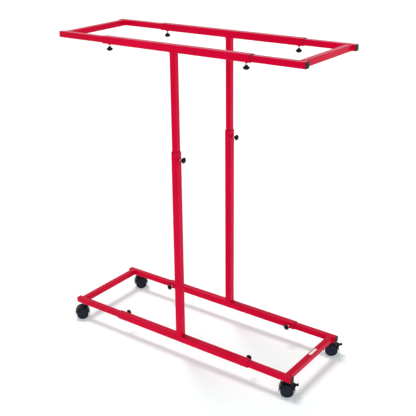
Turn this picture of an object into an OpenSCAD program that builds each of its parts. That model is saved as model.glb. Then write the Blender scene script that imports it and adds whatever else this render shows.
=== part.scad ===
// Mobile hanging rack of square steel tube. Two posts stand between a base frame
// on casters and a top frame that the files hang on. The posts telescope, and each
// frame has an end frame at either side that slides in its rails. Thumbscrews hold
// every sliding tube. X runs along the rails, Y from front to back, and Z up. The
// origin is on the floor, in the middle of the rack's outline.

/* [Frames] */
// Distance between the centres of the front and back rails
rail_spacing = 380; // [340:5:420]
// Length of the outer rails
rail_len = 720; // [640:10:800]
// Length of the arms that slide in the rails
arm_len = 450; // [430:5:460]
// From the posts to the outside of the top frame's left end
top_left_reach = 612; // [540:1:690]
// From the posts to the outside of the top frame's right end
top_right_reach = 588; // [540:1:690]
// From the posts to the outside of the base frame's left end
base_left_reach = 624; // [540:1:690]
// From the posts to the outside of the base frame's right end
base_right_reach = 568; // [540:1:690]
// From an arm's end to the outer face of its crossbar
bar_inset = 15; // [10:1:40]

/* [Heights] */
// Height of the base rails' centre line
base_z = 86; // [84:1:92]
// Height of the top of the lower posts
lower_post_top = 946; // [850:1:1000]
// Height of the top rails' centre line
top_z = 1366; // [1200:1:1500]
// Length of the upper posts
upper_post_len = 755; // [720:5:800]

/* [Tube] */
// Width of the outer square tube, of the rails and lower posts
outer_tube = 30; // [29.5:0.5:31]
// Wall of the outer tube
outer_wall = 2; // [1.5:0.1:2]
// Width of the inner square tube, of the arms, crossbars and upper posts
inner_tube = 25; // [24:0.5:25]
// Wall of the inner tube
inner_wall = 1.5; // [1.2:0.1:2]
// Radius of the tubes' long edges
tube_edge_r = 2.2; // [2:0.1:2.5]

/* [End plugs] */
// Thickness of a plug's head
plug_head = 3; // [2:0.5:4]
// Depth of a plug's ribbed shank inside the arm
plug_shank = 14; // [10:1:20]

/* [Thumbscrews] */
// Diameter of a thumbscrew's head
knob_d = 26; // [22:1:28]
// Diameter of its stud
stud_d = 6; // [5:1:6]
// From a rail's end to the thumbscrew beside it
screw_inset = 25; // [20:1:40]
// From a lower post's top down to its thumbscrew
post_screw_drop = 30; // [25:1:50]
// Width of the weld nut across its flats
nut_flats = 10; // [10:1:13]
// Height of the weld nut
nut_h = 5; // [4:0.5:6.5]

/* [Casters] */
// Diameter of the wheels
wheel_d = 56; // [54:1:58]
// Width of one of a caster's two wheels
wheel_w = 16; // [14:1:18]
// Thickness of the hood's web between the wheels
web_w = 12; // [11:1:13]
// From the swivel axis to the axle
trail = 18; // [16:1:20]
// From an arm's outer end to the swivel axis
stem_inset = 45; // [38:1:50]
// Angle that the left casters stand swung round from the rails
left_swing = 45; // [30:1:60]
// Angle that the right casters stand swung round from the rails
right_swing = 30; // [15:1:30]
// Thickness of the hood
hood_wall = 3; // [2:0.5:3]
// Length of the brake lever from its pivot to its rolled tip
lever_len = 13; // [11:1:16]
// Angle of the brake lever above the level, released
lever_rise = 15; // [5:1:15]

/* [Label] */
// Length of the blank label
label_len = 56; // [40:1:80]
// Width of the blank label
label_w = 13; // [8:1:18]
// From the crossbar's middle to the label's middle
label_offset = 25; // [0:1:60]

/* [Hidden] */
FRONT = -1;
BACK = 1;
LEFT = -1;
RIGHT = 1;
DEPTHS = [FRONT, BACK];
SIDES = [LEFT, RIGHT];
LEVELS = ["base", "top"];

function depth_name(depth) = depth == FRONT ? "front" : "back";
function side_name(side) = side == LEFT ? "left" : "right";
function end_name(level, side) = str(level, "_", side_name(side));
function corner_name(depth, side) = str(depth_name(depth), "_", side_name(side));

// Number of facets that stands for a true circle
ROUND = 48;
// Longer than any cut has to be past the face it starts from
CUT = 1;

PAINT = "crimson";
BLACK = "#1b1b1e";
STEEL = "silver";

// Clearances
running = 0.05;
stud_gap = 0.3;
stem_gap = 0.3;
hole_gap = 0.25;

// Tube
rail_y = rail_spacing / 2;
rail_face = outer_tube / 2;
arm_face = inner_tube / 2;
arm_bore = inner_tube - 2 * inner_wall;

// Caster, from its axle
wheel_r = wheel_d / 2;
wheel_gap = 1;
wheel_face = web_w / 2 + wheel_gap;
wheel_dish = 3.5;
wheel_rim = 4.5;
wheel_hub_r = 8;
cap_proud = 0.5;
hood_gap = 3;
hood_r = wheel_r + hood_gap + hood_wall;
hood_drop = 1;
hood_half_w = wheel_face + wheel_w + cap_proud;
axle_r = 3;
axle_bore = wheel_w - 2;
axle_len = 2 * (wheel_face + axle_bore - 0.5);
boss_r = 8;
neck_r = 9;

// Caster stem, from the arm's underside
arm_under = base_z - arm_face;
collar_h = 3.5;
collar_flats = 16;
stem_r = 5;
stem_top = 12;
pin_r = 3.5;
pin_len = 23;
neck_top = arm_under - collar_h - stem_gap;

// Brake lever, from the axle
pivot_angle = 32;
pivot_r = hood_r + 2.5;
pivot_x = pivot_r * cos(pivot_angle);
pivot_z = pivot_r * sin(pivot_angle);
trunnion_r = 2;
lug_in = 7.2;
lug_w = 3;
lug_r = 4.5;
hub_r = 4;
hub_half_w = 6;
nose_len = 12;
nose_h = 5;
lever_t = 4;
tip_r = 3.6;
paddle_w = 14;
paddle_start = lug_r + 0.8;
lever_tip_x = pivot_x + lever_len * cos(lever_rise) + tip_r;
pocket_in = 22;
pocket_half_w = 7;
pocket_below = 4.5;
pocket_above = 9.5;

// How far a caster's hood reaches out from its swivel axis along X, towards a side
function hood_reach(side, turn) =
    side * trail * cos(turn) + hood_r * abs(cos(turn)) + hood_half_w * abs(sin(turn));

// The same for a right caster's brake lever
lever_reach = (trail + lever_tip_x) * cos(right_swing) + paddle_w / 2 * sin(right_swing);

// The posts stand off the origin's plane by half of what the rack reaches out
// further on the left than on the right
left_most = max(top_left_reach, base_left_reach - stem_inset + hood_reach(LEFT, left_swing + 180));
right_most = max(top_right_reach, base_right_reach,
    base_right_reach - stem_inset + max(lever_reach, hood_reach(RIGHT, right_swing)));
post_x = (left_most - right_most) / 2;

function reach(level, side) =
    level == "top" ? (side == LEFT ? top_left_reach : top_right_reach)
                   : (side == LEFT ? base_left_reach : base_right_reach);
function level_z(level) = level == "top" ? top_z : base_z;
function end_x(level, side) = post_x + side * reach(level, side);
function tube_end_x(level, side) = end_x(level, side) - side * plug_head;
function bar_x(level, side) = end_x(level, side) - side * (bar_inset + arm_face);
function stem_x(side) = end_x("base", side) - side * stem_inset;

// Every caster but the front left one trails towards the right and the back
function caster_turn(depth, side) =
    side == RIGHT ? right_swing : left_swing + (depth == FRONT ? 180 : 0);
function braked(side) = side == RIGHT;

// ---- Shared shapes ----

module rounded_square(w, r) {
    square([w, w - 2 * r], center = true);
    square([w - 2 * r, w], center = true);
    for (x = [-1, 1], y = [-1, 1])
        translate([x * (w / 2 - r), y * (w / 2 - r)])
            circle(r, $fn = ROUND);
}

// A square tube along +Z from the origin
module square_tube(w, wall, len) {
    linear_extrude(len)
        difference() {
            rounded_square(w, tube_edge_r);
            rounded_square(w - 2 * wall, max(tube_edge_r - wall, 0.3));
        }
}

// Moves its children to a rail's thumbscrew, with +Z out of the tube's face
module at_rail_screw(level, depth, side) {
    x = post_x + side * (rail_len / 2 - screw_inset);
    if (level == "top")
        translate([x, depth * rail_y, top_z - rail_face])
            rotate([180, 0, 0])
                children();
    else
        translate([x, depth * (rail_y - rail_face), base_z])
            rotate([90 * depth, 0, 0])
                children();
}

// Moves its children to a post's thumbscrew, with +Z out of the tube's face
module at_post_screw(depth) {
    translate([post_x + rail_face, depth * rail_y, lower_post_top - post_screw_drop])
        rotate([0, 90, 0])
            children();
}

// Moves its children to a caster's swivel axis on the floor
module at_stem(depth, side) {
    translate([stem_x(side), depth * rail_y, 0])
        rotate([0, 0, caster_turn(depth, side)])
            children();
}

// Moves its children to a caster's axle
module at_axle(depth, side) {
    at_stem(depth, side)
        translate([trail, 0, wheel_r])
            children();
}

// A cylinder along Y, from y0 to y1
module y_cylinder(r, y0, y1) {
    translate([0, y1, 0])
        rotate([90, 0, 0])
            cylinder(r = r, h = y1 - y0, $fn = ROUND);
}

// Extrudes an outline in X and Z to both sides of the plane y = 0
module y_extrude(half_w) {
    rotate([90, 0, 0])
        linear_extrude(2 * half_w, center = true)
            children();
}

// ---- Rails and posts ----

module rail_tube(z, depth) {
    translate([post_x - rail_len / 2, depth * rail_y, z])
        rotate([0, 90, 0])
            square_tube(outer_tube, outer_wall, rail_len);
}

// The hole that a stud passes in the outer tube's wall, from the face at z = 0
module stud_clearance() {
    translate([0, 0, -outer_wall - CUT])
        cylinder(r = stud_d / 2 + hole_gap, h = outer_wall + 2 * CUT, $fn = ROUND);
}

module outer_rail(level, depth) {
    color(PAINT)
        difference() {
            rail_tube(level_z(level), depth);
            for (side = SIDES)
                at_rail_screw(level, depth, side)
                    stud_clearance();
        }
}

module lower_post(depth) {
    foot = base_z + rail_face;
    color(PAINT)
        difference() {
            translate([post_x, depth * rail_y, foot])
                square_tube(outer_tube, outer_wall, lower_post_top - foot);
            at_post_screw(depth)
                stud_clearance();
        }
}

module upper_post(depth) {
    color(PAINT)
        translate([post_x, depth * rail_y, top_z - rail_face - upper_post_len])
            square_tube(inner_tube, inner_wall, upper_post_len);
}

// ---- Thumbscrews and their weld nuts ----

module weld_nut() {
    difference() {
        cylinder(d = nut_flats / cos(30), h = nut_h, $fn = 6);
        translate([0, 0, -CUT])
            cylinder(r = stud_d / 2 + running, h = nut_h + 2 * CUT, $fn = ROUND);
    }
}

module rail_weld_nuts(level) {
    color(PAINT)
        for (depth = DEPTHS, side = SIDES)
            at_rail_screw(level, depth, side)
                weld_nut();
}

module post_weld_nuts() {
    color(PAINT)
        for (depth = DEPTHS)
            at_post_screw(depth)
                weld_nut();
}

// A lobed head moulded on its stud, whose tip stops just clear of the inner tube
module thumbscrew() {
    tip = (rail_face - arm_face) - stud_gap;
    head_z = 12;
    head_r = knob_d / 2;
    lobes = 8;
    flute_r = 3;
    color(BLACK)
        difference() {
            rotate_extrude($fn = ROUND)
                polygon([
                    [0, head_z], [5.5, head_z], [6.3, head_z + 3], [head_r - 1.5, head_z + 7],
                    [head_r, head_z + 8.5], [head_r, head_z + 10.5], [head_r - 2, head_z + 13],
                    [7.5, head_z + 16], [3.5, head_z + 17.8], [0, head_z + 18.2]
                ]);
            for (i = [0 : lobes - 1])
                rotate([0, 0, (i + 0.5) * 360 / lobes])
                    translate([head_r + flute_r - 1.3, 0, head_z - CUT])
                        cylinder(r = flute_r, h = 20, $fn = ROUND);
        }
    color(STEEL)
        translate([0, 0, -tip])
            cylinder(r = stud_d / 2, h = tip + head_z + CUT, $fn = ROUND);
}

// ---- Sliding end frames ----

module arm(level, side, depth) {
    inner_end = end_x(level, side) - side * (plug_head + arm_len);
    outer_end = tube_end_x(level, side);
    color(PAINT)
        difference() {
            translate([min(inner_end, outer_end), depth * rail_y, level_z(level)])
                rotate([0, 90, 0])
                    square_tube(inner_tube, inner_wall, arm_len);
            if (level == "base")
                translate([stem_x(side), depth * rail_y, arm_under - CUT])
                    cylinder(r = stem_r + hole_gap, h = inner_wall + 2 * CUT, $fn = ROUND);
        }
}

module crossbar(level, side) {
    len = rail_spacing - inner_tube;
    color(PAINT)
        translate([bar_x(level, side), len / 2, level_z(level)])
            rotate([90, 0, 0])
                square_tube(inner_tube, inner_wall, len);
}

// A plug along +Z: its head is outside the tube and its ribbed shank inside
module end_plug() {
    shank_w = arm_bore - 4;
    rib_t = 1.6;
    head_edge = 1;
    linear_extrude(plug_head - head_edge)
        rounded_square(inner_tube, tube_edge_r);
    translate([0, 0, plug_head - head_edge])
        linear_extrude(head_edge)
            rounded_square(inner_tube - 1.2, tube_edge_r);
    translate([0, 0, -plug_shank])
        linear_extrude(plug_shank + CUT)
            difference() {
                square(shank_w, center = true);
                square(shank_w - 2 * rib_t, center = true);
            }
    for (z = [-plug_shank + 2, -plug_shank / 2])
        translate([0, 0, z])
            linear_extrude(rib_t)
                difference() {
                    rounded_square(arm_bore - 0.4, tube_edge_r);
                    square(shank_w - rib_t, center = true);
                }
}

module end_plugs(level, side) {
    color(BLACK)
        for (depth = DEPTHS)
            translate([tube_end_x(level, side), depth * rail_y, level_z(level)])
                rotate([0, 90 * side, 0])
                    end_plug();
}

module blank_label() {
    thickness = 0.3;
    color("white")
        translate([bar_x("base", RIGHT), label_offset, base_z + arm_face])
            linear_extrude(thickness) {
                square([label_w, label_len - label_w], center = true);
                for (y = [-1, 1])
                    translate([0, y * (label_len - label_w) / 2])
                        circle(label_w / 2, $fn = ROUND);
            }
}

// ---- Casters ----

module caster_stems(side) {
    color(STEEL)
        for (depth = DEPTHS)
            translate([stem_x(side), depth * rail_y, arm_under]) {
                cylinder(r = stem_r, h = stem_top, $fn = ROUND);
                translate([0, 0, -collar_h])
                    cylinder(d = collar_flats / cos(30), h = collar_h, $fn = 6);
                translate([0, 0, -collar_h - pin_len])
                    cylinder(r = pin_r, h = pin_len, $fn = ROUND);
            }
}

module stem_nuts(side) {
    nut_t = 6;
    color(STEEL)
        for (depth = DEPTHS)
            translate([stem_x(side), depth * rail_y, arm_under + inner_wall])
                difference() {
                    cylinder(d = collar_flats / cos(30), h = nut_t, $fn = 6);
                    translate([0, 0, -CUT])
                        cylinder(r = stem_r, h = nut_t + 2 * CUT, $fn = ROUND);
                }
}

// The pocket in the web and the hood that the brake lever's nose turns in
module brake_pocket() {
    rotate([0, -pivot_angle, 0])
        translate([pocket_in, -pocket_half_w, -pocket_below])
            cube([hood_r, 2 * pocket_half_w, pocket_below + pocket_above]);
}

// The two lugs that the brake lever's trunnions turn in
module brake_lugs() {
    root_r = wheel_r + hood_gap + 0.5;
    for (y = [-lug_in - lug_w / 2, lug_in + lug_w / 2])
        translate([0, y, 0])
            y_extrude(lug_w / 2)
                rotate(pivot_angle)
                    difference() {
                        union() {
                            translate([pivot_r, 0])
                                circle(lug_r, $fn = ROUND);
                            translate([root_r, 1 - lug_r])
                                square([pivot_r - root_r, 2 * (lug_r - 1)]);
                        }
                        translate([pivot_r, 0])
                            circle(trunnion_r + running, $fn = ROUND);
                    }
}

module hood_block() {
    intersection() {
        y_cylinder(hood_r, -hood_half_w, hood_half_w);
        translate([-hood_r - CUT, -hood_half_w - CUT, -hood_drop])
            cube([2 * (hood_r + CUT), 2 * (hood_half_w + CUT), hood_r + hood_drop + CUT]);
    }
    y_cylinder(boss_r, -web_w / 2, web_w / 2);
    translate([-trail, 0, 0])
        cylinder(r = neck_r, h = neck_top - wheel_r, $fn = ROUND);
}

module caster_hood(depth, side) {
    well_r = wheel_r + hood_gap;
    color(BLACK)
        at_axle(depth, side) {
            difference() {
                hood_block();
                y_cylinder(well_r, web_w / 2, hood_half_w + CUT);
                y_cylinder(well_r, -hood_half_w - CUT, -web_w / 2);
                y_cylinder(axle_r, -web_w, web_w);
                translate([-trail, 0, neck_top - wheel_r - pin_len])
                    cylinder(r = pin_r + running, h = pin_len + CUT, $fn = ROUND);
                if (braked(side))
                    brake_pocket();
            }
            if (braked(side))
                brake_lugs();
        }
}

module caster_axle(depth, side) {
    color(STEEL)
        at_axle(depth, side)
            y_cylinder(axle_r, -axle_len / 2, axle_len / 2);
}

// One wheel along +Z from its inner face, hollow inside between its hub and its rim
module wheel() {
    edge = 2;
    rotate_extrude($fn = 2 * ROUND)
        polygon([
            [axle_r + running, 0], [wheel_hub_r, 0], [wheel_hub_r, wheel_w - wheel_dish],
            [wheel_r - wheel_rim, wheel_w - wheel_dish], [wheel_r - wheel_rim, 0], [wheel_r - edge / 2, 0],
            [wheel_r, edge / 2], [wheel_r, wheel_w - 1.5 * edge], [wheel_r - 0.6, wheel_w - edge / 2],
            [wheel_r - edge, wheel_w], [wheel_r - 2 * edge, wheel_w], [wheel_r - 2.5 * edge, wheel_w - 1],
            [wheel_hub_r + 3, wheel_w - 1], [wheel_hub_r + 1, wheel_w + cap_proud], [0, wheel_w + cap_proud],
            [0, axle_bore], [axle_r + running, axle_bore]
        ]);
}

// The front or back wheel of a caster, whichever way the caster is turned
module caster_wheel(depth, side, face) {
    half = cos(caster_turn(depth, side)) < 0 ? -face : face;
    color(BLACK)
        at_axle(depth, side)
            translate([0, half * wheel_face, 0])
                rotate([-90 * half, 0, 0])
                    wheel();
}

// The lever's middle, from its pivot: a hub, a nose that points to the axle and
// wedges between the wheels, and an arm that carries the paddle
module lever_middle() {
    circle(hub_r, $fn = ROUND);
    rotate(180 + pivot_angle)
        translate([0, -nose_h / 2])
            square([nose_len, nose_h]);
    rotate(lever_rise)
        translate([0, -lever_t / 2])
            square([paddle_start + 1, lever_t]);
}

module lever_paddle() {
    rotate(lever_rise) {
        translate([paddle_start, -lever_t / 2])
            square([lever_len - paddle_start, lever_t]);
        translate([lever_len, 0])
            circle(tip_r, $fn = ROUND);
    }
}

module brake_lever(depth) {
    color(BLACK)
        at_axle(depth, RIGHT)
            translate([pivot_x, 0, pivot_z]) {
                y_cylinder(trunnion_r, -lug_in - lug_w, lug_in + lug_w);
                y_extrude(hub_half_w)
                    lever_middle();
                y_extrude(paddle_w / 2)
                    lever_paddle();
            }
}

// ---- Assembly ----

for (depth = DEPTHS) {
    outer_rail("base", depth);
    lower_post(depth);
    outer_rail("top", depth);
    upper_post(depth);
    brake_lever(depth);
    at_post_screw(depth) thumbscrew();
}
rail_weld_nuts("base");  // base_weld_nuts
rail_weld_nuts("top");  // top_weld_nuts
post_weld_nuts();
blank_label();
for (level = LEVELS, side = SIDES) {
    for (depth = DEPTHS) {
        arm(level, side, depth);
        at_rail_screw(level, depth, side) thumbscrew();
    }
    crossbar(level, side);
    end_plugs(level, side);
}
for (side = SIDES) {
    caster_stems(side);
    stem_nuts(side);
    for (depth = DEPTHS) {
        caster_hood(depth, side);
        caster_axle(depth, side);
        caster_wheel(depth, side, FRONT);
        caster_wheel(depth, side, BACK);
    }
}
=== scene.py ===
import math

import bmesh
import bpy
import numpy as np
from mathutils import Matrix, Vector


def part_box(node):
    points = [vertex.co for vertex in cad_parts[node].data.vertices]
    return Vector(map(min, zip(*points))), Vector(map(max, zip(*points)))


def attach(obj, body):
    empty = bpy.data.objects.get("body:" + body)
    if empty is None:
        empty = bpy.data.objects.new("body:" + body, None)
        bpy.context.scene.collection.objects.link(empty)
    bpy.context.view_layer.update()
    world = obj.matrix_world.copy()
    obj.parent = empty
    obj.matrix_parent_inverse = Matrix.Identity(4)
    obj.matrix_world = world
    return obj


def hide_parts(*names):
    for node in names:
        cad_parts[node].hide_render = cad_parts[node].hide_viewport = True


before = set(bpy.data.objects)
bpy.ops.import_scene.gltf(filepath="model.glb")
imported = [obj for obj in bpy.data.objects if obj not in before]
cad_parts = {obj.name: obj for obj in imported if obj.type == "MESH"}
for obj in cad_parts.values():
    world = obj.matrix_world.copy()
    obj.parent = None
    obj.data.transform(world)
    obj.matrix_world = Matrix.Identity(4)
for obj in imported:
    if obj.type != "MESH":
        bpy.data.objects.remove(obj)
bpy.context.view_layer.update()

MM = 0.001
FRONT, BACK = -1, 1
LEFT, RIGHT = -1, 1
DEPTHS = {"front": FRONT, "back": BACK}
SIDES = {"left": LEFT, "right": RIGHT}
LEVELS = ("base", "top")
TURN = 2 * math.pi

# ---- Sizes, in metres, read from the frame or shared with the CAD ----

base_lo, base_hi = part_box("base_rail_front")
post_lo, post_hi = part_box("lower_post_front")
upper_lo, upper_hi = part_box("upper_post_front")
outer = base_hi.z - base_lo.z
inner = upper_hi.y - upper_lo.y
rail_y = -(base_lo.y + base_hi.y) / 2
post_x = (post_lo.x + post_hi.x) / 2
edge_r = 2.2 * MM
nut_flats = 10 * MM
nut_h = 5 * MM
stud_tip = 2.2 * MM


# ---- Mesh helpers ----

def new_object(name, verts, faces, sharp_deg=38):
    """A mesh object with outward normals, smooth but for edges sharper than sharp_deg."""
    mesh = bpy.data.meshes.new(name)
    mesh.from_pydata([tuple(map(float, v)) for v in verts], [], faces)
    obj = bpy.data.objects.new(name, mesh)
    bpy.context.scene.collection.objects.link(obj)
    tidy_mesh(mesh, sharp_deg)
    return obj


def tidy_mesh(mesh, sharp_deg=38):
    bm = bmesh.new()
    bm.from_mesh(mesh)
    bmesh.ops.recalc_face_normals(bm, faces=bm.faces)
    bm.to_mesh(mesh)
    bm.free()
    mesh.polygons.foreach_set("use_smooth", [True] * len(mesh.polygons))
    mesh.set_sharp_from_angle(angle=math.radians(sharp_deg))


def skin(rings, closed=False):
    """Verts and faces of a surface through equal rings, with capped ends unless it closes on itself."""
    n = len(rings[0])
    rows = len(rings)
    verts = [p for ring in rings for p in ring]
    faces = []
    for i in range(rows if closed else rows - 1):
        a, b = i * n, (i + 1) % rows * n
        faces += [(a + j, a + (j + 1) % n, b + (j + 1) % n, b + j) for j in range(n)]
    if not closed:
        faces.append(tuple(reversed(range(n))))
        faces.append(tuple(range((rows - 1) * n, rows * n)))
    return verts, faces


def circle(r, z, n):
    return [(r * math.cos(TURN * j / n), r * math.sin(TURN * j / n), z) for j in range(n)]


def lathe(name, profile, n):
    """A solid turned round local Z from a profile of (radius, height) in mm, closed at both ends."""
    return new_object(name, *skin([circle(r * MM, z * MM, n) for r, z in profile]))


def square_ring(half, corner, z, per_corner=6):
    """A square outline with rounded corners, in the plane at z."""
    corner = min(corner, half * 0.98)
    points = []
    for k in range(4):
        start = k * TURN / 4
        cx = (half - corner) * (1 if k in (0, 3) else -1)
        cy = (half - corner) * (1 if k in (0, 1) else -1)
        for j in range(per_corner + 1):
            a = start + TURN / 4 * j / per_corner
            points.append((cx + corner * math.cos(a), cy + corner * math.sin(a), z))
    return points


def rounded_path(half_x, half_y, corner, step):
    """Evenly spaced points round a rectangle with rounded corners, in the plane z = 0."""
    per_corner = 12
    dense = []
    for k in range(4):
        cx = (half_x - corner) * (1 if k in (0, 3) else -1)
        cy = (half_y - corner) * (1 if k in (0, 1) else -1)
        for j in range(per_corner + 1):
            a = k * TURN / 4 + TURN / 4 * j / per_corner
            dense.append((cx + corner * math.cos(a), cy + corner * math.sin(a)))
    dense = np.array(dense + dense[:1])
    length = np.concatenate([[0], np.cumsum(np.linalg.norm(np.diff(dense, axis=0), axis=1))])
    count = int(length[-1] / step)
    at = np.linspace(0, length[-1], count, endpoint=False)
    xs = np.interp(at, length, dense[:, 0])
    ys = np.interp(at, length, dense[:, 1])
    return [(x, y, 0.0) for x, y in zip(xs, ys)]


def facing(origin, out, side=None):
    """The matrix that puts local +Z along out, and local +X as near to side as it goes."""
    z = Vector(out).normalized()
    x = Vector(side) if side else (Vector((0, 0, 1)) if abs(z.z) < 0.9 else Vector((1, 0, 0)))
    x = (x - z * x.dot(z)).normalized()
    turned = Matrix((x, z.cross(x), z)).transposed().to_4x4()
    turned.translation = origin
    return turned


def bake(obj):
    """Turns the object's modifiers into its mesh."""
    bpy.context.view_layer.update()
    shown = obj.evaluated_get(bpy.context.evaluated_depsgraph_get())
    mesh = bpy.data.meshes.new_from_object(shown)
    obj.modifiers.clear()
    obj.data = mesh
    mesh.name = obj.name
    tidy_mesh(mesh)
    return obj


def merge_close(obj, gap=0.04 * MM):
    """Joins points closer than gap, and takes out the edges and faces that this flattens."""
    bm = bmesh.new()
    bm.from_mesh(obj.data)
    bmesh.ops.remove_doubles(bm, verts=bm.verts, dist=gap)
    bmesh.ops.dissolve_degenerate(bm, edges=bm.edges, dist=gap)
    bmesh.ops.dissolve_limit(bm, verts=bm.verts, edges=bm.edges, angle_limit=math.radians(0.5))
    bm.to_mesh(obj.data)
    bm.free()
    return obj


def combine(obj, *tools, how="DIFFERENCE"):
    """Cuts the tools from obj, or adds them to it, and removes them."""
    for tool in tools:
        cut = obj.modifiers.new("cut", "BOOLEAN")
        cut.solver = "EXACT"
        cut.operation = how
        cut.object = tool
        merge_close(bake(obj), 0.02 * MM)
        bpy.data.objects.remove(tool)
    return obj


def soften(obj, width, segments, limit_deg):
    """Rounds the edges of obj that are sharper than limit_deg."""
    merge_close(obj)
    edge = obj.modifiers.new("soften", "BEVEL")
    edge.width = width
    edge.segments = segments
    edge.limit_method = "ANGLE"
    edge.angle_limit = math.radians(limit_deg)
    edge.use_clamp_overlap = True
    bake(obj)
    tidy_mesh(merge_close(obj, 0.01 * MM).data)
    return obj


def moved(obj, matrix):
    """Moves the mesh itself, and returns the object."""
    obj.data.transform(matrix)
    obj.data.update()
    return obj


def outline_prism(name, outline, half_w):
    """A prism of an outline in X and Z, in mm, to both sides of y = 0."""
    rings = [[(x * MM, y * MM, z * MM) for x, z in outline] for y in (-half_w, half_w)]
    return new_object(name, *skin(rings))


def instance(name, mesh, matrix, body, material, nodes=()):
    """A piece that shows a shared mesh at a place, and rides on a body."""
    obj = bpy.data.objects.new(name, mesh)
    bpy.context.scene.collection.objects.link(obj)
    obj.matrix_world = matrix
    return dress(obj, body, material, nodes)


def dress(obj, body, material, nodes=()):
    obj.data.materials.clear()
    obj.data.materials.append(material)
    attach(obj, body)
    if nodes:
        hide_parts(*nodes)
    return obj


def take_mesh(obj):
    """The object's mesh, with the object itself removed."""
    mesh = obj.data
    bpy.data.objects.remove(obj)
    return mesh


# ---- Materials ----

def add(tree, kind, **inputs):
    """A shader node with its inputs. An input is a value or another node's socket."""
    made = tree.nodes.new(kind)
    for name, value in inputs.items():
        socket = made.inputs[name.replace("_", " ")]
        if isinstance(value, bpy.types.NodeSocket):
            tree.links.new(value, socket)
        else:
            socket.default_value = value
    return made


def new_material(name):
    made = bpy.data.materials.new(name)
    made.use_nodes = True
    made.node_tree.nodes.clear()
    place = add(made.node_tree, "ShaderNodeTexCoord").outputs["Object"]
    return made, made.node_tree, place


def stretched(tree, place, scale):
    return add(tree, "ShaderNodeMapping", Vector=place, Scale=scale).outputs["Vector"]


def noise(tree, place, scale, detail=2.0, roughness=0.5):
    made = add(
        tree, "ShaderNodeTexNoise", Vector=place, Scale=scale, Detail=detail, Roughness=roughness,
    )
    return made.outputs["Fac"]


def ramp(tree, value, low, high, start=0.3, end=0.7):
    """value from start to end, mapped to low to high."""
    made = add(tree, "ShaderNodeMapRange", Value=value)
    for name, number in (("From Min", start), ("From Max", end), ("To Min", low), ("To Max", high)):
        made.inputs[name].default_value = number
    return made.outputs["Result"]


def blended(tree, factor, a, b):
    """Colour a where factor is 0, b where it is 1."""
    made = tree.nodes.new("ShaderNodeMix")
    made.data_type = "RGBA"
    tree.links.new(factor, made.inputs["Factor"])
    for socket, value in ((made.inputs[6], a), (made.inputs[7], b)):
        if isinstance(value, bpy.types.NodeSocket):
            tree.links.new(value, socket)
        else:
            socket.default_value = (*value, 1)
    return made.outputs[2]


def bump(tree, height, distance, strength=1.0, normal=None):
    made = add(tree, "ShaderNodeBump", Height=height, Distance=distance, Strength=strength)
    if normal is not None:
        tree.links.new(normal, made.inputs["Normal"])
    return made.outputs["Normal"]


def finish_material(made, tree, **inputs):
    shader = add(tree, "ShaderNodeBsdfPrincipled", **inputs)
    add(tree, "ShaderNodeOutputMaterial", Surface=shader.outputs["BSDF"])
    return made


def powder_coat(name, drag):
    """Glossy red powder coat: orange peel, a fine tooth, and faint rubbing along drag, a scale per axis."""
    made, tree, place = new_material(name)
    broad = noise(tree, place, scale=7, detail=3)
    rub = noise(tree, stretched(tree, place, drag), scale=1, detail=4, roughness=0.6)
    fleck = noise(tree, place, scale=2600, detail=1)
    waves = noise(tree, place, scale=620, detail=1.5, roughness=0.4)
    colour = blended(tree, ramp(tree, broad, low=0, high=1), RED_DEEP, RED_BRIGHT)
    colour = blended(tree, ramp(tree, fleck, low=0, high=0.12, start=0.55, end=0.8), colour, RED_FLECK)
    rough = ramp(tree, rub, low=0.24, high=0.36)
    peel = bump(tree, waves, distance=0.05 * MM, strength=0.7)
    tooth = bump(tree, fleck, distance=0.006 * MM, strength=0.6, normal=peel)
    return finish_material(
        made, tree, Base_Color=colour, Roughness=rough, Normal=tooth, Specular_IOR_Level=0.10,
        Specular_Tint=(1.0, 0.1, 0.8, 1.0), Sheen_Weight=0.12, Sheen_Roughness=0.35,
        Sheen_Tint=(1.0, 0.02, 0.55, 1.0),
    )


def moulded(name, dark, light, roughness, grain_scale, grain_depth):
    """Moulded plastic with a fine grain, and slight dulling from handling and dust."""
    made, tree, place = new_material(name)
    grain = noise(tree, place, grain_scale, detail=2, roughness=0.6)
    wear = noise(tree, place, scale=90, detail=4, roughness=0.65)
    colour = blended(tree, ramp(tree, wear, low=0, high=1, start=0.35, end=0.8), dark, light)
    rough = ramp(tree, wear, low=roughness[0], high=roughness[1])
    surface = bump(tree, grain, grain_depth, strength=0.8)
    return finish_material(
        made, tree, Base_Color=colour, Roughness=rough, Normal=surface, Specular_IOR_Level=0.12,
    )


def plated(name):
    """Bright zinc plate with fine turning marks and a faint bloom."""
    made, tree, place = new_material(name)
    bloom = noise(tree, place, scale=140, detail=3)
    marks = noise(tree, stretched(tree, place, (300, 300, 9000)), scale=1, detail=2)
    colour = blended(tree, ramp(tree, bloom, low=0, high=1), ZINC_DULL, ZINC_BRIGHT)
    rough = ramp(tree, bloom, low=0.22, high=0.36)
    turned = bump(tree, marks, distance=0.008 * MM, strength=0.5)
    return finish_material(made, tree, Base_Color=colour, Metallic=1.0, Roughness=rough, Normal=turned)


def label_film(name):
    """Off-white label film with a slight tooth and handling marks."""
    made, tree, place = new_material(name)
    marks = noise(tree, place, scale=110, detail=4, roughness=0.6)
    fibre = noise(tree, place, scale=3500, detail=2)
    colour = blended(tree, ramp(tree, marks, low=0, high=1, start=0.45, end=0.75), LABEL_CLEAN, LABEL_WORN)
    rough = ramp(tree, marks, low=0.32, high=0.5)
    tooth = bump(tree, fibre, distance=0.01 * MM, strength=0.4)
    return finish_material(made, tree, Base_Color=colour, Roughness=rough, Normal=tooth)


RED_DEEP = (0.54, 0.0002, 0.020)
RED_BRIGHT = (0.62, 0.0003, 0.028)
RED_FLECK = (0.70, 0.002, 0.05)
ZINC_DULL = (0.60, 0.61, 0.60)
ZINC_BRIGHT = (0.76, 0.76, 0.74)
LABEL_CLEAN = (0.86, 0.86, 0.85)
LABEL_WORN = (0.70, 0.70, 0.69)

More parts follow.
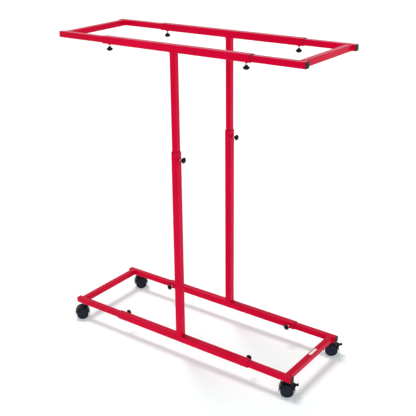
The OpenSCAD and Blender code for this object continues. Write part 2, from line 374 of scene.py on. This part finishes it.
MATERIALS = {
    "red_x": powder_coat("red_paint_along_x", (4, 700, 700)),
    "red_y": powder_coat("red_paint_along_y", (700, 4, 700)),
    "red_z": powder_coat("red_paint_along_z", (700, 700, 4)),
    "red_small": powder_coat("red_paint_small", (250, 250, 250)),
    "plug": moulded(
        "plug_plastic", dark=(0.008, 0.010, 0.010), light=(0.022, 0.026, 0.025), roughness=(0.40, 0.55),
        grain_scale=1700, grain_depth=0.03 * MM,
    ),
    "knob": moulded(
        "knob_plastic", dark=(0.003, 0.003, 0.0035), light=(0.009, 0.009, 0.010), roughness=(0.26, 0.42),
        grain_scale=1500, grain_depth=0.012 * MM,
    ),
    "caster": moulded(
        "caster_plastic", dark=(0.003, 0.003, 0.004), light=(0.009, 0.009, 0.011), roughness=(0.34, 0.5),
        grain_scale=1600, grain_depth=0.02 * MM,
    ),
    "wheel": moulded(
        "wheel_nylon", dark=(0.008, 0.009, 0.019), light=(0.020, 0.022, 0.040), roughness=(0.38, 0.6),
        grain_scale=1300, grain_depth=0.02 * MM,
    ),
    "steel": plated("zinc_plate"),
    "label": label_film("label_film"),
}


def cad_material(node):
    """The look of a CAD node that stays in view. The other nodes are replaced by finer pieces below."""
    if "label" in node:
        return MATERIALS["label"]
    if "stem" in node or "axle" in node:
        return MATERIALS["steel"]
    if "crossbar" in node:
        return MATERIALS["red_y"]
    if "post" in node:
        return MATERIALS["red_z"]
    return MATERIALS["red_x"]


for node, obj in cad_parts.items():
    for look in obj.material_slots:
        look.material = cad_material(node)

# ---- Weld beads ----

BEAD_STEP = 0.45 * MM
BEAD_SIDES = 12
RIPPLE = 1.9 * MM


def bead(name, path, radius, seed):
    """A closed weld bead along a loop of points in the plane z = 0, with overlapping ripples."""
    points = np.array(path)
    n = len(points)
    step = np.linalg.norm(np.roll(points, -1, axis=0) - points, axis=1)
    along = np.concatenate([[0], np.cumsum(step)[:-1]])
    total = step.sum()
    ripples = max(6, round(total / RIPPLE))
    tangent = np.roll(points, -1, axis=0) - np.roll(points, 1, axis=0)
    tangent /= np.linalg.norm(tangent, axis=1)[:, None]
    up = np.array((0.0, 0.0, 1.0))
    rings = []
    for i in range(n):
        outward = np.cross(tangent[i], up)
        s = along[i] / total
        swell = 1 + 0.06 * math.sin(TURN * (3 * s + seed))
        swell += 0.04 * math.sin(TURN * (7 * s + 2.3 * seed))
        ring = []
        for j in range(BEAD_SIDES):
            a = TURN * j / BEAD_SIDES
            ripple = abs(math.sin(math.pi * (ripples * s + 0.3 * math.cos(a))))
            r = radius * swell * (0.86 + 0.17 * ripple)
            ring.append(points[i] + r * (math.cos(a) * outward + math.sin(a) * up))
        rings.append(ring)
    return new_object(name, *skin(rings, closed=True), sharp_deg=60)


fillet = 0.4 * MM
sunk = 1.25 * MM
bead_r = 2.1 * MM


def joint_seed(number):
    """A phase of its own for each numbered joint, in hundredths, so that no two beads look the same."""
    least, first, stride = 11, 62, 23
    return (least + (first + stride * number) % 100) / 100


for k, (depth, y) in enumerate(DEPTHS.items()):
    foot = bead(
        f"weld_post_foot_{depth}",
        rounded_path(outer / 2 + fillet, outer / 2 - sunk, edge_r, BEAD_STEP), bead_r, 0.17 + 0.4 * k,
    )
    foot.matrix_world = Matrix.Translation((post_x, y * rail_y, post_lo.z + fillet))
    dress(foot, "base_frame", MATERIALS["red_small"])
    head = bead(
        f"weld_post_head_{depth}",
        rounded_path(inner / 2 + fillet, inner / 2 + fillet, edge_r, BEAD_STEP), bead_r, 0.31 + 0.4 * k,
    )
    head.matrix_world = Matrix.Translation((post_x, y * rail_y, upper_hi.z - fillet))
    dress(head, "top_frame", MATERIALS["red_small"])

corners = [(level, side, depth) for level in LEVELS for side in SIDES for depth in DEPTHS]
for number, (level, side, depth) in enumerate(corners):
    bar_lo, bar_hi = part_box(f"{level}_{side}_crossbar")
    mid = (bar_lo + bar_hi) / 2
    y = DEPTHS[depth]
    end_y = bar_hi.y if y == BACK else bar_lo.y
    joint = bead(
        f"weld_{level}_{side}_{depth}",
        rounded_path(inner / 2 + fillet, inner / 2 - sunk, edge_r, BEAD_STEP), bead_r,
        joint_seed(number),
    )
    joint.matrix_world = facing((mid.x, end_y - y * fillet, mid.z), (0, y, 0), (1, 0, 0))
    dress(joint, f"{level}_{side}_end_frame", MATERIALS["red_small"])

# ---- Thumbscrews and their weld nuts ----

LOBES = 8
LOBE_DEPTH = 0.125
KNOB_SEGMENTS = 128
STUD_SEGMENTS = 40
NUT_SEGMENTS = 72


def knob_mesh():
    """A moulded head: a conical neck, eight lobes, and a dome with a ring groove."""
    neck = [
        (0.4, 12), (5.1, 12), (5.45, 12.12), (5.6, 12.5), (5.75, 14), (6.3, 15.4), (7.6, 16.9), (9.4, 18.1),
    ]
    rim = [
        (11.0, 19.0), (12.1, 19.8), (12.8, 20.8), (13.0, 21.7), (12.95, 22.6), (12.6, 23.7), (11.9, 24.8),
        (10.8, 26.1), (9.7, 27.1),
    ]
    dome = [
        (9.3, 27.2), (9.0, 27.25), (8.7, 27.5), (8.1, 28.1), (6.8, 28.9), (5.0, 29.6), (2.8, 30.05),
        (0.4, 30.2),
    ]
    lobes_from, lobes_full = 8.5, 11.5
    rings = []
    for r, z in neck + rim + dome:
        depth = LOBE_DEPTH * min(max((r - lobes_from) / (lobes_full - lobes_from), 0), 1)
        ring = []
        for j in range(KNOB_SEGMENTS):
            a = TURN * (j + 0.5) / KNOB_SEGMENTS
            flute = ((1 - math.cos(LOBES * a)) / 2) ** 2.2
            scale = r * (1 - depth * flute) * MM
            ring.append((scale * math.cos(a), scale * math.sin(a), z * MM))
        rings.append(ring)
    return take_mesh(new_object("thumbscrew_head", *skin(rings), sharp_deg=50))


def stud_mesh():
    """A bare M6 stud with its thread, from its chamfered tip into the head."""
    pitch, minor, major = 1.0, 2.5, 2.97
    tip, top = -stud_tip / MM, 13.0
    rows_per_turn, lead_in = 8, 1.0
    rows = int((top - tip) / pitch * rows_per_turn)
    rings = []
    for i in range(rows + 1):
        z = tip + (top - tip) * i / rows
        lead = min(max((z - tip) / lead_in, 0), 1)
        ring = []
        for j in range(STUD_SEGMENTS):
            a = TURN * j / STUD_SEGMENTS
            turn = (z / pitch - j / STUD_SEGMENTS) % 1
            crest = min(max(1.35 * (1 - abs(2 * turn - 1)) - 0.12, 0), 1)
            r = (minor + (major - minor) * crest * lead) * MM
            ring.append((r * math.cos(a), r * math.sin(a), z * MM))
        rings.append(ring)
    return take_mesh(new_object("stud", *skin(rings), sharp_deg=60))


def nut_mesh():
    """A chamfered hexagonal weld nut with a bore for the stud."""
    h = nut_h / MM
    half = nut_flats / MM / 2
    corner = half / math.cos(math.radians(30))
    top_r = half - 0.15
    chamfer = 1.0
    rings = []
    for z in (0, 0.5 * h, h - 1.0, h - 0.8, h - 0.6, h - 0.4, h - 0.2, h):
        cone = top_r + (h - z) * (corner - top_r) / chamfer if z > h - chamfer else corner
        ring = []
        for j in range(NUT_SEGMENTS):
            a = TURN * j / NUT_SEGMENTS
            flat = half / math.cos((a + math.pi / 6) % (math.pi / 3) - math.pi / 6)
            r = min(flat, cone) * MM
            ring.append((r * math.cos(a), r * math.sin(a), z * MM))
        rings.append(ring)
    bore, mouth, countersink = 3.2, 3.8, 0.6
    for r, z in ((mouth, h), (bore, h - countersink), (bore, countersink), (mouth, 0)):
        rings.append(circle(r * MM, z * MM, NUT_SEGMENTS))
    return take_mesh(new_object("weld_nut", *skin(rings, closed=True), sharp_deg=25))


nut_round = nut_flats / math.cos(math.radians(30)) / 2
knob, stud, nut = knob_mesh(), stud_mesh(), nut_mesh()
nut_bead = take_mesh(bead("nut_weld", circle(nut_round * 0.97, 0, 110), radius=1.0 * MM, seed=0.4))


def screw_place(node):
    """Where a thumbscrew's axis leaves its tube's face, with local +Z outwards."""
    lo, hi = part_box(node)
    mid = (lo + hi) / 2
    if "post" in node:
        return facing((lo.x + stud_tip, mid.y, mid.z), (1, 0, 0))
    if "top" in node:
        return facing((mid.x, mid.y, hi.z - stud_tip), (0, 0, -1))
    inward = 1 if "front" in node else -1
    tip_y = lo.y if inward == 1 else hi.y
    return facing((mid.x, tip_y + inward * stud_tip, mid.z), (0, inward, 0))


for node in [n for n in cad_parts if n.startswith("thumbscrew_")]:
    what = node.removeprefix("thumbscrew_")
    spot = screw_place(node)
    level = what.split("_")[0]
    holder = "top_frame" if level == "top" else "base_frame"
    instance(f"knob_{what}", knob, spot, node, MATERIALS["knob"], [node])
    instance(f"stud_{what}", stud, spot, node, MATERIALS["steel"], [node])
    instance(
        f"weld_nut_{what}", nut, spot, holder, MATERIALS["red_small"], [f"{level}_weld_nuts"],
    )
    instance(f"nut_bead_{what}", nut_bead, spot, holder, MATERIALS["red_small"])

# ---- Glide bushes in the mouths of the outer tubes, whose black is also the painted shade of the gap between the tubes ----

def bush_and_gap_shade_mesh():
    """A thin plastic sleeve between the tubes, with a flange on the outer tube's end. Its black also stands
    in for the shadow in the gap at the tube's mouth, as painted shade.
    """
    gap = inner / MM / 2 + 0.15
    sleeve = gap + 0.3
    flange = outer / MM / 2 - 0.5
    length, thick, bevel = 10.0, 1.0, 0.25
    rows = [
        (gap, -length, 2.2), (sleeve, -length, 2.4), (sleeve, -0.05, 2.4), (flange, -0.05, 2.4),
        (flange, 0.7, 2.4), (flange - bevel, thick, 2.2), (gap + bevel, thick, 2.2), (gap, 0.7, 2.2),
    ]
    rings = [square_ring(w * MM, c * MM, z * MM) for w, z, c in rows]
    return take_mesh(new_object("glide_bush_and_gap_shade", *skin(rings, closed=True), sharp_deg=40))


bush_and_gap_shade = bush_and_gap_shade_mesh()
# Each sleeve gives the dark line at a tube's mouth: partly a plastic bush, partly painted shade of the gap
# between the tubes.
for depth, y in DEPTHS.items():
    for level in LEVELS:
        rail_lo, rail_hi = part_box(f"{level}_rail_{depth}")
        mid = (rail_lo + rail_hi) / 2
        for side, x in SIDES.items():
            end = rail_hi.x if x == RIGHT else rail_lo.x
            instance(
                f"glide_bush_{level}_{side}_{depth}", bush_and_gap_shade, facing((end, mid.y, mid.z), (x, 0, 0)),
                f"{level}_frame", MATERIALS["plug"],
            )
    instance(
        f"glide_bush_post_{depth}", bush_and_gap_shade, facing((post_x, y * rail_y, post_hi.z), (0, 0, 1)),
        "base_frame", MATERIALS["plug"],
    )

# ---- End plugs ----

def plug_mesh():
    """A square plug: a bevelled, slightly domed head, and a hollow shank with two ribs."""
    half = inner / MM / 2
    bore = half - 1.5
    shank = [
        (bore - 3.6, -1.0, 1.0), (bore - 3.6, -13.9, 1.0), (bore - 2.1, -14.0, 1.2),
        (bore - 2.0, -12.2, 1.2), (bore - 0.4, -11.4, 1.2), (bore - 0.25, -10.6, 1.2),
        (bore - 2.0, -10.2, 1.2), (bore - 2.0, -7.4, 1.2), (bore - 0.4, -6.6, 1.2),
        (bore - 0.25, -5.8, 1.2), (bore - 2.0, -5.4, 1.2), (bore - 2.0, -0.1, 1.2),
    ]
    head = [
        (half - 0.3, -0.0, 2.1), (half - 0.05, 0.2, 2.2), (half, 0.5, 2.2), (half, 1.5, 2.2),
        (half - 0.12, 2.0, 2.2), (half - 0.45, 2.4, 2.2), (half - 0.95, 2.65, 2.1), (half - 2.2, 2.8, 1.8),
        (half - 5.5, 2.93, 1.4), (half - 9.0, 2.98, 1.0), (0.8, 3.0, 0.5),
    ]
    rings = [square_ring(w * MM, c * MM, z * MM) for w, z, c in shank + head]
    return take_mesh(new_object("end_plug", *skin(rings), sharp_deg=40))


plug = plug_mesh()
for level, side, depth in corners:
    arm_lo, arm_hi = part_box(f"{level}_{side}_arm_{depth}")
    mid = (arm_lo + arm_hi) / 2
    x = SIDES[side]
    end = arm_hi.x if x == RIGHT else arm_lo.x
    instance(
        f"end_plug_{level}_{side}_{depth}", plug, facing((end, mid.y, mid.z), (x, 0, 0)),
        f"{level}_{side}_end_frame", MATERIALS["plug"], [f"{level}_{side}_end_plugs"],
    )

# ---- Casters, in mm from the axle: +X away from the stem, Y along the axle ----

hood_r, hood_half_w = 34.0, 23.5
hood_drop, trail = 1.0, 18.0
well_r, web_half = 31.0, 6.0
boss_r, axle_r = 8.0, 3.0
neck_r = 9.0
neck_top = (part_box("caster_back_left_hood")[1].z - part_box("caster_back_left_axle")[0].z) / MM - axle_r
pin_hole_r, pin_hole_depth = 3.6, 23.0
wheel_face, wheel_w = 7.0, 16.0
pivot_deg, pivot_r = 32.0, 36.5
lug_y, lug_half_w = 8.7, 1.5
TO_Y = Matrix.Rotation(-math.pi / 2, 4, "X")


def turned_y(name, profile, n):
    """A solid turned round Y, from a profile of (radius, y) in mm."""
    return moved(lathe(name, profile, n), TO_Y)


def block(name, lo, hi):
    """A box between two corners in mm, for cutting."""
    outline = [(lo[0], lo[2]), (hi[0], lo[2]), (hi[0], hi[2]), (lo[0], hi[2])]
    made = outline_prism(name, outline, (hi[1] - lo[1]) / 2)
    return moved(made, Matrix.Translation((0, (lo[1] + hi[1]) / 2 * MM, 0)))


def hood_mesh(braked):
    """A crowned hood over both wheels, with its web, boss and neck. A braked one has lugs and a slot."""
    crown = [(0, 7), (0.25, 3.4), (0.75, 1.4), (1.3, 0.35), (1.9, 0)]
    near = [(hood_r - drop, inset - hood_half_w) for drop, inset in reversed(crown)]
    far = [(hood_r - drop, hood_half_w - inset) for drop, inset in crown]
    hood = turned_y("hood", [(0.5, -hood_half_w)] + near + far + [(0.5, hood_half_w)], 128)
    clear = 40
    combine(hood, block("keep", (-clear, -30, -hood_drop), (clear, 30, clear)), how="INTERSECT")
    neck = [
        (0.5, 0), (neck_r, 0), (neck_r, neck_top - 1.0), (neck_r - 0.3, neck_top - 0.3),
        (neck_r - 1, neck_top), (0.5, neck_top),
    ]
    to_stem = Matrix.Translation((-trail * MM, 0, 0))
    combine(hood, moved(lathe("neck", neck, 64), to_stem), how="UNION")
    for sign in (-1, 1):
        floor_y, mouth_y = sign * web_half, sign * clear
        well = [(0.5, floor_y), (well_r, floor_y), (well_r, mouth_y), (0.5, mouth_y)]
        combine(hood, turned_y("well", well, 128))
    boss_half = web_half + 0.5
    boss = [(0.5, -boss_half), (boss_r, -boss_half), (boss_r, boss_half), (0.5, boss_half)]
    combine(hood, turned_y("boss", boss, 64), how="UNION")
    hole_r = axle_r + 0.02
    combine(hood, turned_y("axle_hole", [(0.2, -20), (hole_r, -20), (hole_r, 20), (0.2, 20)], 32))
    low, high = neck_top - pin_hole_depth, neck_top + 5
    pin = lathe("pin_hole", [(0.2, low), (pin_hole_r, low), (pin_hole_r, high), (0.2, high)], 32)
    combine(hood, moved(pin, to_stem))
    if braked:
        tilt = Matrix.Rotation(-math.radians(pivot_deg), 4, "Y")
        combine(hood, moved(block("slot", (22, -7, -4.5), (45, 7, 9.5)), tilt))
        for sign in (-1, 1):
            lug = outline_prism("lug", lug_outline(), lug_half_w)
            lug = moved(lug, Matrix.Translation((0, sign * lug_y * MM, 0)))
            combine(hood, moved(lug, tilt), how="UNION")
    return take_mesh(soften(hood, 0.45 * MM, segments=2, limit_deg=40))


def lug_outline():
    """A brake lug along X, from inside the hood to its round end about the pivot."""
    start, half, r = 32.0, 3.5, 4.5
    spread = math.degrees(math.asin(half / r))
    arc = [math.radians(-(180 - spread) + i * 2 * (180 - spread) / 24) for i in range(25)]
    return [(start, half), (start, -half)] + [(pivot_r + r * math.cos(a), r * math.sin(a)) for a in arc]


def wheel_mesh():
    """A wheel from its inner face: a rounded tread, a grooved side, a dished disc and a hub cap."""
    w = wheel_w
    inside = [
        (3.05, 0), (7.6, 0), (8, 0.4), (8, w - 3.9), (8.4, w - 3.5), (23.1, w - 3.5), (23.5, w - 3.9),
        (23.5, 0.4), (23.9, 0),
    ]
    tread = [
        (26.7, 0), (27.3, 0.2), (27.75, 0.7), (27.95, 1.4), (28, 2.2), (28, w - 3.6), (27.9, w - 2.6),
        (27.6, w - 1.6), (27.1, w - 0.8), (26.4, w - 0.25), (25.6, w),
    ]
    groove = [
        (24.6, w), (24.1, w - 0.15), (23.8, w - 0.6), (23.6, w - 1.3), (23.2, w - 1.5), (22.8, w - 1.35),
        (22.4, w - 1.05),
    ]
    disc = [(20, w - 0.85), (17, w - 0.9), (14, w - 1.0), (12.2, w - 1.0), (11.7, w - 1.15), (11.4, w - 1.1)]
    cap = [
        (11.1, w - 0.6), (10.6, w - 0.1), (9.8, w + 0.25), (8, w + 0.42), (4, w + 0.48), (0.3, w + 0.5),
    ]
    axle_hole = [(0.3, w - 1.8), (3.05, w - 1.8)]
    profile = inside + tread + groove + disc + cap + axle_hole
    rings = [circle(r * MM, z * MM, 112) for r, z in profile]
    return take_mesh(new_object("wheel", *skin(rings, closed=True), sharp_deg=32))


def lever_mesh():
    """A brake lever from its pivot: trunnions, hub, nose, and a ribbed paddle with a rolled tip."""
    rise_deg = 15
    hub_half, paddle_half = 6, 7
    roll_x, roll_r, roll_turn = 13, 3.6, 2.45
    tilt = Matrix.Rotation(-math.radians(rise_deg), 4, "Y")
    nose_tilt = Matrix.Rotation(-math.radians(180 + pivot_deg), 4, "Y")
    hub = [(0.3, -hub_half), (4, -hub_half), (4, hub_half), (0.3, hub_half)]
    trunnion = [(0.3, -10.2), (1.7, -10.2), (2, -9.9), (2, 9.9), (1.7, 10.2), (0.3, 10.2)]
    nose = [(0, -2.5), (11.2, -2.5), (12, -1.7), (12, 1.7), (11.2, 2.5), (0, 2.5)]
    arm = [(0, -2), (6.3, -2), (6.3, 2), (0, 2)]
    roll = [
        (roll_x + roll_r * math.cos(a), roll_r * math.sin(a)) for a in np.linspace(-roll_turn, roll_turn, 19)
    ]
    rib = [(0.2, -5.7), (0.4, -5.6), (0.55, -5.2), (0.55, 5.2), (0.4, 5.6), (0.2, 5.7)]
    lever = turned_y("hub", hub, 48)
    combine(
        lever,
        turned_y("trunnion", trunnion, 32),
        moved(outline_prism("nose", nose, hub_half), nose_tilt),
        moved(outline_prism("arm", arm, hub_half), tilt),
        how="UNION",
    )
    paddle = outline_prism("paddle", [(5.3, 2), (5.3, -2)] + roll, paddle_half)
    soften(paddle, 0.9 * MM, segments=3, limit_deg=50)
    for a in (50, 75, 100):
        on_roll = (roll_x + roll_r * math.cos(math.radians(a)), 0, roll_r * math.sin(math.radians(a)))
        bar = moved(turned_y("rib", rib, 16), Matrix.Translation(Vector(on_roll) * MM))
        combine(paddle, bar, how="UNION")
    combine(lever, moved(paddle, tilt), how="UNION")
    return take_mesh(soften(lever, 0.3 * MM, segments=2, limit_deg=45))


hoods = {"left": hood_mesh(False), "right": hood_mesh(True)}
wheel = wheel_mesh()
lever = lever_mesh()

for depth in DEPTHS:
    for side in SIDES:
        caster = f"caster_{depth}_{side}"
        axle_lo, axle_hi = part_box(f"{caster}_axle")
        axle = (axle_lo + axle_hi) / 2
        stem_lo, stem_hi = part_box(f"{side}_caster_stems")
        stem = Vector(((stem_lo.x + stem_hi.x) / 2, DEPTHS[depth] * rail_y, axle.z))
        trailing = (axle - stem).normalized()
        across = Vector((0, 0, 1)).cross(trailing)
        spot = facing(axle, (0, 0, 1), trailing)
        instance(
            f"{caster}_cover", hoods[side], spot, caster, MATERIALS["caster"],
            [f"{caster}_hood"],
        )
        for face, y in DEPTHS.items():
            node = f"{caster}_wheel_{face}"
            outward = across * (y if across.y > 0 else -y)
            place = facing(axle + outward * wheel_face * MM, outward, (0, 0, 1))
            instance(f"{node}_tyre", wheel, place, node, MATERIALS["wheel"], [node])
        if side == "right":
            turn = math.radians(pivot_deg)
            pivot = axle + (trailing * math.cos(turn) + Vector((0, 0, math.sin(turn)))) * pivot_r * MM
            instance(
                f"brake_pedal_{depth}", lever, facing(pivot, (0, 0, 1), trailing), f"brake_lever_{depth}",
                MATERIALS["caster"], [f"brake_lever_{depth}"],
            )

# ---- Floor, light and camera ----

floor_half = 30.0
made, tree, place = new_material("floor")
tone = blended(tree, noise(tree, place, scale=1.5, detail=2), (0.93, 0.93, 0.93), (0.95, 0.95, 0.95))
finish_material(
    made, tree, Base_Color=tone, Roughness=0.95, Specular_IOR_Level=0.05,
    Emission_Color=(0.70, 1.0, 1.0, 1.0), Emission_Strength=0.20,
)
floor_corners = [(x * floor_half, y * floor_half, 0) for x, y in ((-1, -1), (1, -1), (1, 1), (-1, 1))]
floor = new_object("floor", floor_corners, [(0, 1, 2, 3)])
floor.data.materials.append(made)

world = bpy.data.worlds.new("studio")
world.use_nodes = True
sky = world.node_tree.nodes["Background"]
sky.inputs["Color"].default_value = (1, 1, 1, 1)
toward = add(world.node_tree, "ShaderNodeTexCoord").outputs["Generated"]
height = add(world.node_tree, "ShaderNodeSeparateXYZ", Vector=toward).outputs["Z"]
horizon_light, zenith_light = 1.05, 0.10
glow = ramp(world.node_tree, height, horizon_light, zenith_light, start=0.34, end=0.70)
world.node_tree.links.new(glow, sky.inputs["Strength"])
bpy.context.scene.world = world
bpy.context.scene.view_settings.view_transform = "Standard"


def soft_sun(name, towards, spread_deg, strength):
    """A far, wide light: strength is what it adds to a white surface that faces it."""
    data = bpy.data.lights.new(name, "SUN")
    data.angle = math.radians(spread_deg)
    data.energy = strength * math.pi
    light = bpy.data.objects.new(name, data)
    bpy.context.scene.collection.objects.link(light)
    light.matrix_world = facing((0, 0, 3), towards)


soft_sun("overhead", towards=(-0.45, 0.15, 1.0), spread_deg=20, strength=0.55)
soft_sun("front", towards=(0.62, -0.78, 0.42), spread_deg=50, strength=0.30)

view_from = Vector((1.9335 + post_x, -2.6220, 1.9544))
yaw, pitch, roll = (math.radians(d) for d in (-37.13, -20.71, -0.93))
ahead = Vector((math.sin(yaw) * math.cos(pitch), math.cos(yaw) * math.cos(pitch), math.sin(pitch)))
level_right = Vector((math.cos(yaw), -math.sin(yaw), 0))
level_up = level_right.cross(ahead)
right = level_right * math.cos(roll) + level_up * math.sin(roll)
up = level_up * math.cos(roll) - level_right * math.sin(roll)
lens = bpy.data.cameras.new("camera")
lens.sensor_width = 36
lens.lens = 69.9
lens.shift_x, lens.shift_y = 0.0312, -0.0433
camera = bpy.data.objects.new("camera", lens)
bpy.context.scene.collection.objects.link(camera)
camera.matrix_world = Matrix((right, up, -ahead)).transposed().to_4x4()
camera.matrix_world.translation = view_from
bpy.context.scene.camera = camera
